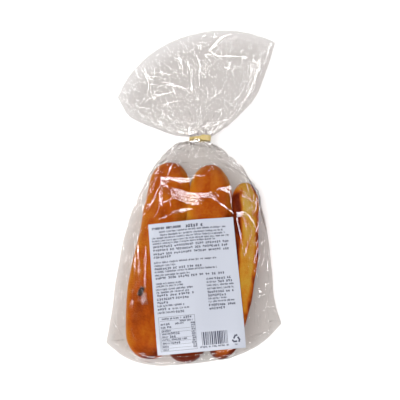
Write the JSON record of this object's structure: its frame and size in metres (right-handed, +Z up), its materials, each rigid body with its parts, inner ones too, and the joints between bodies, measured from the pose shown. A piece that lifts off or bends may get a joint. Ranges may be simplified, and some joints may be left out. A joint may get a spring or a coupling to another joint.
{
  "type": "bag of raisin rolls",
  "caption": "Clear film bag of long raisin rolls, gathered and tied with yellow tape below a flared mouth, with a plain information label, lying on its back.",
  "frame": {"origin": "middle of the bag's box seen from above, on the surface it lies on", "axes": "+Y along the bag from its bottom seam to its open mouth, +Z up through the label, +X across the bag to the right of the label"},
  "size_m": [0.1678, 0.339, 0.0393],
  "materials": {
    "film": "clear crisp plastic film with creases",
    "tie_tape": "yellow paper-backed tie tape",
    "label_paper": "smooth bluish white label paper with grey print",
    "roll_crust": "egg-glazed bread crust, orange-brown above and pale golden at the sides",
    "raisin": "dark wrinkled raisin skin"
  },
  "bodies": {
    "root": {"bag": "film", "tie": "tie_tape", "label": "label_paper"}
  },
  "joints": []
}
